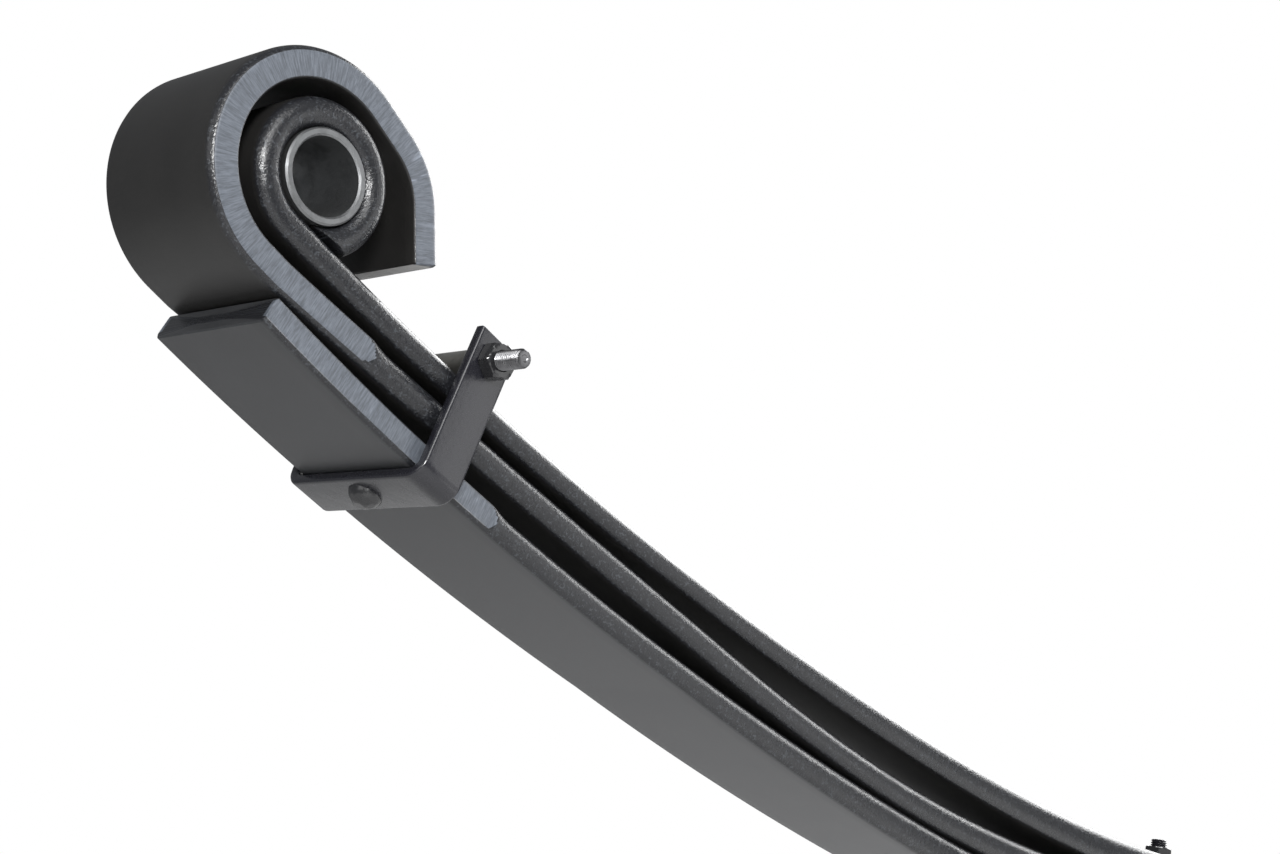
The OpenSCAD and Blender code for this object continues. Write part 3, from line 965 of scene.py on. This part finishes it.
class SPRING_OT_seat_spacers(SpringOperator, bpy.types.Operator):
    """Build the two plates between the leaves at the seat"""
    bl_idname = "spring.seat_spacers"
    bl_label = "Seat spacers"

    def execute(self, context):
        finish = gloss_paint("spacer paint", context.scene.spring_colours.flat[:], 0.45,
                             0.0004, coat=0.0)
        for node in ("upper_spacer", "lower_spacer"):
            low, high = (np.array(c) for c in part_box(node))
            middle, half = (low + high) / 2, (high - low) / 2
            corner = 0.0012
            turn = np.linspace(0, 2 * math.pi, 64, endpoint=False) + math.pi / 64
            reach = np.clip(toward(turn) * 1.6, -1, 1)
            rings = []
            for inset, height in ((corner, -half[2]), (0, -half[2] + corner),
                                  (0, half[2] - corner), (corner, half[2])):
                xy = reach * (half[:2] - inset)
                rings.append(np.concatenate([xy, np.full((64, 1), height)], axis=1))
            grid = capped(np.stack(rings) + middle)
            piece = make_piece(node + "_plate", grid)
            settle(piece, [node], PACK, finish)
        return {"FINISHED"}


class SPRING_OT_eye_bushes(SpringOperator, bpy.types.Operator):
    """Build the steel bushes pressed into the eyes"""
    bl_idname = "spring.eye_bushes"
    bl_label = "Eye bushes"

    def execute(self, context):
        colours = context.scene.spring_colours
        finish = turned_steel("bush steel", colours.steel[:], 0.38, 2600)
        half = LEAF_W / 2
        c = 0.0009
        profile = np.array([
            (BUSH_R, 0), (BUSH_R, half - c), (BUSH_R - c, half), (BORE_R + c, half),
            (BORE_R, half - c), (BORE_R, 0), (BORE_R, -half + c), (BORE_R + c, -half),
            (BUSH_R - c, -half), (BUSH_R, -half + c)])
        rings = turned(profile, 128)
        add_pair("_bush_ring", "_eye_bush", finish,
                 lambda side: np.stack([rings[..., 0] + side * EYE[0], rings[..., 2],
                                        rings[..., 1] + EYE[1]], axis=-1),
                 closed_rows=True)
        return {"FINISHED"}


class SPRING_OT_clips(SpringOperator, bpy.types.Operator):
    """Build the bent straps of the rebound clips"""
    bl_idname = "spring.clips"
    bl_label = "Clips"

    def strap_path(self, line, clips):
        """Middle line of the strap, (y, up), and its outward normals."""
        inner = LEAF_W / 2 + clips.side_gap
        mid_r = clips.bend_r + clips.thickness / 2
        ear = bolt_height(line, clips) + clips.ear_above
        floor = -clips.seat_gap
        turn = np.linspace(0, math.pi / 2, 14)
        arc = toward(-turn)
        centre = np.array([inner - clips.bend_r, floor + clips.bend_r])
        bend = centre + mid_r * arc
        wall_up = np.linspace(ear, floor + clips.bend_r, 24)[:-1]
        wall = np.stack([np.full(len(wall_up), inner + clips.thickness / 2), wall_up], -1)
        out = np.concatenate([np.tile([1.0, 0.0], (len(wall), 1)), arc])
        half = np.concatenate([wall, bend])
        flat_y = np.linspace(centre[0], 0, 12)[1:]
        flat = np.stack([flat_y, np.full(11, floor - clips.thickness / 2)], -1)
        half = np.concatenate([half, flat])
        out = np.concatenate([out, np.tile([0.0, -1.0], (11, 1))])
        flip = np.array([-1.0, 1.0])
        return (np.concatenate([half, half[-2::-1] * flip]),
                np.concatenate([out, out[-2::-1] * flip]))

    def execute(self, context):
        scene = context.scene
        clips = scene.spring_clips
        line = self.line(context)
        finish = gloss_paint("clip paint", scene.spring_colours.clip[:], 0.20, 0.00022)
        path, out = self.strap_path(line, clips)
        corner = 0.0018
        turn = np.linspace(0, math.pi / 2, 5)
        quarter = toward(turn) * corner
        w, t = clips.width / 2 - corner, clips.thickness / 2 - corner
        corners = [np.array([w, t]) + quarter,
                   np.array([-w, t]) + quarter[::-1] * (-1, 1),
                   np.array([-w, -t]) - quarter,
                   np.array([w, -t]) + quarter[::-1] * (1, -1)]
        loop = np.concatenate(corners)
        along, thick = loop[:, 0], loop[:, 1]
        u = np.broadcast_to(along, (len(path), len(loop)))
        yn = path[:, None, :] + out[:, None, :] * thick[None, :, None]
        grid = np.concatenate([u[..., None], yn], axis=-1)
        ends = grid[[0, -1]]
        middle = ends.mean(axis=1, keepdims=True)
        ends = middle + (ends - middle) * (0.93, 0.6, 1.0) + (0, 0, 0.0009)
        grid = capped(np.concatenate([ends[:1], grid, ends[1:]]), (0.8, 0.0))
        lean = ear_lean(clips, grid[..., 2])
        add_pair("_clip_strap", "_clip", finish,
                 lambda side: place_clip(grid, line, clips, side, lean))
        return {"FINISHED"}


class SPRING_OT_clip_rivets(SpringOperator, bpy.types.Operator):
    """Build the hammered rivets that hold the clips"""
    bl_idname = "spring.clip_rivets"
    bl_label = "Clip rivets"

    def dome(self, clips):
        """Rings of a ball's cap trimmed by flats that a hammer left around it."""
        rim, high = clips.rivet_head_d / 2, clips.rivet_head_h
        ball = (rim**2 + high**2) / (2 * high)
        share = np.linspace(1, 0, 26)[:, None]
        angles = np.linspace(0, 2 * math.pi, STEPS, endpoint=False)[None, :]
        r = rim * share + 0 * angles
        cap = np.sqrt(ball**2 - r**2) - (ball - high)
        facing = np.arange(8) * math.pi / 4 + 0.2
        reach = r[..., None] * np.cos(angles[..., None] - facing)
        flats = high * 1.02 - (reach - rim * 0.30) * 0.80
        trimmed = np.minimum(cap, np.minimum(flats.min(axis=-1), high * 0.94))
        return np.stack([r * np.cos(angles), r * np.sin(angles), -trimmed], axis=-1)

    def execute(self, context):
        scene = context.scene
        clips = scene.spring_clips
        line = self.line(context)
        finish = gloss_paint("rivet paint", scene.spring_colours.nut[:], 0.22, 0.0001)
        low = -clips.seat_gap - clips.thickness
        x = line.line.half_span - clips.setback
        top = float(line.third_t(x)) + 0.00015
        shank = clips.rivet_d / 2
        close = clips.rivet_head_d / 2 - 0.001
        dome = self.dome(clips)[::-1] + (0, 0, low)
        rest = turned(np.array([(shank, low), (shank, top), (close, top),
                                (close - 0.001, top + clips.rivet_close_h * 0.6),
                                (shank, top + clips.rivet_close_h),
                                (0, top + clips.rivet_close_h)]))
        grid = np.concatenate([dome, rest])
        add_pair("_hammered_rivet", "_clip_rivet", finish,
                 lambda side: place_clip(grid, line, clips, side))
        return {"FINISHED"}


class SPRING_OT_clip_bolts(SpringOperator, bpy.types.Operator):
    """Build the clip bolts with their threads and heads"""
    bl_idname = "spring.clip_bolts"
    bl_label = "Clip bolts"

    def execute(self, context):
        scene = context.scene
        clips = scene.spring_clips
        line = self.line(context)
        finish = turned_steel("bolt steel", scene.spring_colours.bolt[:], 0.20, 900)
        radius = clips.bolt_d / 2
        outer = LEAF_W / 2 + clips.side_gap + clips.thickness
        tip = outer + clips.nut_h + clips.bolt_out
        start = outer - 0.004
        head_low, head_high = -outer - clips.head_h, -outer
        head_rows = np.linspace(head_low, head_high, 14)
        plain_side = head_high + 0.05
        head = hexagon_rings(head_rows, clips.hex_af, head_low, plain_side)
        thread = thread_rings(radius, clips.pitch, start, tip - 0.0002, tip, 0.0014)
        shank = turned(np.array([(radius, head_high), (radius, start - 0.0002)]))
        tip_rows = turned(np.array([(radius - 0.0016, tip), (radius - 0.003, tip),
                                    (radius - 0.0035, tip - 0.0004), (0, tip - 0.0004)]))
        end = turned(np.array([(0, head_low), (clips.hex_af * 0.35, head_low)]))
        grid = np.concatenate([end, head, shank, thread, tip_rows])
        add_pair("_threaded_bolt", "_clip_bolt", finish,
                 lambda side: on_bolt(grid, line, clips, side))
        return {"FINISHED"}


def nut_rings(flats, bore_r, low, high):
    """Closed rings of a nut: both ends chamfered and the bore countersunk."""
    rows = np.linspace(low, high, 18)
    body = hexagon_rings(rows, flats, low, high)
    sink = 0.0008
    return np.concatenate([
        ring(bore_r, low + sink), ring(bore_r + sink, low),
        body,
        ring(bore_r + sink, high), ring(bore_r, high - sink)])


class SPRING_OT_clip_nuts(SpringOperator, bpy.types.Operator):
    """Build the nuts of the clip bolts"""
    bl_idname = "spring.clip_nuts"
    bl_label = "Clip nuts"

    def execute(self, context):
        scene = context.scene
        clips = scene.spring_clips
        line = self.line(context)
        finish = gloss_paint("nut paint", scene.spring_colours.nut[:], 0.16, 0.00005)
        outer = LEAF_W / 2 + clips.side_gap + clips.thickness
        rings = nut_rings(clips.hex_af, clips.bolt_d / 2 - 0.0003, outer,
                          outer + clips.nut_h)
        add_pair("_hexagon_nut", "_clip_nut", finish,
                 lambda side: on_bolt(rings, line, clips, side), closed_rows=True)
        return {"FINISHED"}


class SPRING_OT_distance_tubes(SpringOperator, bpy.types.Operator):
    """Build the distance tubes on the clip bolts, each on a body of its own"""
    bl_idname = "spring.distance_tubes"
    bl_label = "Distance tubes"

    def execute(self, context):
        scene = context.scene
        clips = scene.spring_clips
        line = self.line(context)
        finish = turned_steel("tube steel", scene.spring_colours.tube[:], 0.36, 700)
        bore = clips.bolt_d / 2 + clips.tube_turn_gap
        outer = bore + clips.tube_wall
        half = LEAF_W / 2 + clips.side_gap - clips.tube_end_gap
        c = 0.0004
        profile = np.array([(outer, 0), (outer, half - c), (outer - c, half),
                            (bore + c, half), (bore, half - c), (bore, -half + c),
                            (bore + c, -half), (outer - c, -half), (outer, -half + c)])
        rings = turned(profile, 72)
        add_pair("_tube_sleeve", "_distance_tube", finish,
                 lambda side: on_bolt(rings, line, clips, side), own_body="_tube",
                 closed_rows=True)
        return {"FINISHED"}


class SPRING_OT_centre_bolt(SpringOperator, bpy.types.Operator):
    """Build the centre bolt with its round head and threaded end"""
    bl_idname = "spring.centre_bolt"
    bl_label = "Centre bolt"

    def execute(self, context):
        scene = context.scene
        centre = scene.spring_centre
        finish = gloss_paint("centre bolt paint", scene.spring_colours.clip[:], 0.32,
                             0.0002)
        radius = centre.bolt_d / 2
        tip = STACK_TOP - centre.spot_depth + centre.nut_h + centre.bolt_out
        start = STACK_TOP - 0.004
        head_r = centre.head_d / 2
        head = turned(np.array([
            (0, -centre.head_h), (head_r - 0.0015, -centre.head_h),
            (head_r, -centre.head_h + 0.0015), (head_r, centre.spot_depth),
            (radius, centre.spot_depth), (radius, start - 0.0002)]))
        thread = thread_rings(radius, centre.pitch, start, tip - 0.0002, tip, 0.0016)
        tip_rows = turned(np.array([(radius - 0.002, tip), (0, tip)]))
        piece = make_piece("centre_bolt_stud", np.concatenate([head, thread, tip_rows]))
        settle(piece, ["centre_bolt"], PACK, finish)
        return {"FINISHED"}


class SPRING_OT_centre_nut(SpringOperator, bpy.types.Operator):
    """Build the centre bolt's nut"""
    bl_idname = "spring.centre_nut"
    bl_label = "Centre nut"

    def execute(self, context):
        scene = context.scene
        centre = scene.spring_centre
        finish = gloss_paint("centre nut paint", scene.spring_colours.nut[:], 0.2,
                             0.00005)
        seat = STACK_TOP - centre.spot_depth
        rings = nut_rings(centre.hex_af, centre.bolt_d / 2 - 0.0003, seat,
                          seat + centre.nut_h)
        piece = make_piece("centre_hexagon_nut", rings, closed_rows=True)
        settle(piece, ["centre_nut"], PACK, finish)
        return {"FINISHED"}


def area_light(name, place, target, size, power, tint=(1.0, 1.0, 1.0)):
    """A square soft light at a place, turned toward a target."""
    data = bpy.data.lights.new(name, "AREA")
    data.size = size
    data.energy = power
    data.color = tint
    light = bpy.data.objects.new(name, data)
    light.location = place
    direction = Vector(target) - Vector(place)
    light.rotation_euler = direction.to_track_quat("-Z", "Y").to_euler()
    bpy.context.scene.collection.objects.link(light)
    return light


class SPRING_OT_stage(bpy.types.Operator):
    """Set the camera, the pale floor and the soft lights"""
    bl_idname = "spring.stage"
    bl_label = "Stage"
    bl_options = {"REGISTER", "UNDO"}

    def camera(self, scene, stage):
        """Camera from its heading, pitch and roll, beside the left eye."""
        h, p, r = stage.heading, stage.pitch, stage.roll
        ahead = Vector((math.cos(p) * math.cos(h), math.cos(p) * math.sin(h), math.sin(p)))
        level = Vector((math.sin(h), -math.cos(h), 0))
        over = level.cross(ahead)
        right = level * math.cos(r) + over * math.sin(r)
        up = over * math.cos(r) - level * math.sin(r)
        turn = Matrix((right, up, -ahead)).transposed().to_4x4()
        place = Vector((-EYE[0] - stage.back, -LEAF_W / 2 - stage.front,
                        EYE[1] - stage.drop))
        data = bpy.data.cameras.new("camera")
        data.sensor_fit = "HORIZONTAL"
        data.sensor_width = 36
        data.lens = stage.lens
        data.clip_start = 0.02
        camera = bpy.data.objects.new("camera", data)
        camera.matrix_world = Matrix.Translation(place) @ turn
        scene.collection.objects.link(camera)
        scene.camera = camera

    def world(self, scene):
        """Pale surroundings: white behind the object, softer where they light it."""
        world = bpy.data.worlds.new("studio")
        world.use_nodes = True
        scene.world = world
        nodes, links = world.node_tree.nodes, world.node_tree.links
        nodes.clear()
        out = nodes.new("ShaderNodeOutputWorld")
        choose = nodes.new("ShaderNodeMixShader")
        seen = nodes.new("ShaderNodeLightPath")
        glow = nodes.new("ShaderNodeBackground")
        glow.inputs["Color"].default_value = (0.93, 0.96, 1.0, 1)
        glow.inputs["Strength"].default_value = 0.22
        white = nodes.new("ShaderNodeBackground")
        white.inputs["Color"].default_value = (1, 1, 1, 1)
        links.new(seen.outputs["Is Camera Ray"], choose.inputs[0])
        links.new(glow.outputs[0], choose.inputs[1])
        links.new(white.outputs[0], choose.inputs[2])
        links.new(choose.outputs[0], out.inputs["Surface"])

    def floor(self, scene, stage):
        """A wide pale floor well below the seat."""
        half = stage.floor_size / 2
        z = -stage.floor_drop
        mesh = bpy.data.meshes.new("floor")
        mesh.from_pydata([(-half, -half, z), (half, -half, z), (half, half, z),
                          (-half, half, z)], [], [(0, 1, 2, 3)])
        floor = bpy.data.objects.new("floor", mesh)
        s = Shader("floor card")
        s.feed(s.bsdf.inputs["Base Color"],
               s.blend(s.noise(s.place(), 3.0), (0.60, 0.60, 0.60), (0.64, 0.64, 0.64)))
        s.constants(Roughness=0.9)
        mesh.materials.append(s.material)
        scene.collection.objects.link(floor)

    def execute(self, context):
        scene = context.scene
        stage = scene.spring_stage
        self.camera(scene, stage)
        self.world(scene)
        self.floor(scene, stage)
        eye = (-EYE[0], 0, EYE[1])
        clip = (-EYE[0] + 0.15, 0, EYE[1] - 0.1)
        area_light("key", (-1.5, -1.7, 1.5), clip, 1.1, 20)
        area_light("front", (-1.85, -1.35, 0.5), eye, 0.35, 30)
        area_light("left", (-2.6, -0.3, 0.5), eye, 1.0, 5)
        area_light("under", (0.3, -1.0, -0.3), (0, 0, 0.05), 1.2, 4)
        area_light("top", (1.0, 0.2, 1.4), (-0.5, 0, 0.1), 1.6, 62)
        area_light("right", (0.9, -1.9, 0.9), (0.2, 0, 0.1), 1.4, 9)
        return {"FINISHED"}


PIECES = (
    SPRING_OT_main_leaf, SPRING_OT_second_leaf, SPRING_OT_third_leaf,
    SPRING_OT_seat_spacers, SPRING_OT_eye_bushes, SPRING_OT_clips,
    SPRING_OT_clip_rivets, SPRING_OT_clip_bolts, SPRING_OT_clip_nuts,
    SPRING_OT_distance_tubes, SPRING_OT_centre_bolt, SPRING_OT_centre_nut,
    SPRING_OT_stage,
)


class SPRING_PT_panel(bpy.types.Panel):
    """Lists the spring's pieces and the stage."""
    bl_idname = "SPRING_PT_panel"
    bl_label = "Leaf spring"
    bl_space_type = "VIEW_3D"
    bl_region_type = "UI"
    bl_category = "Leaf spring"

    def draw(self, context):
        for piece in PIECES:
            self.layout.operator(piece.bl_idname)


def register():
    for cls in (*GROUPS.values(), *PIECES, SPRING_PT_panel):
        bpy.utils.register_class(cls)
    for name, group in GROUPS.items():
        setattr(bpy.types.Scene, name, PointerProperty(type=group))


def unregister():
    for name in GROUPS:
        delattr(bpy.types.Scene, name)
    for cls in reversed((*GROUPS.values(), *PIECES, SPRING_PT_panel)):
        bpy.utils.unregister_class(cls)


def main():
    register()
    scene = bpy.context.scene
    scene.view_settings.view_transform = "Standard"
    for piece in PIECES:
        group, name = piece.bl_idname.split(".")
        if getattr(getattr(bpy.ops, group), name)() != {"FINISHED"}:
            raise RuntimeError(f"{piece.bl_label} was not finished")


if __name__ == "__main__":
    main()
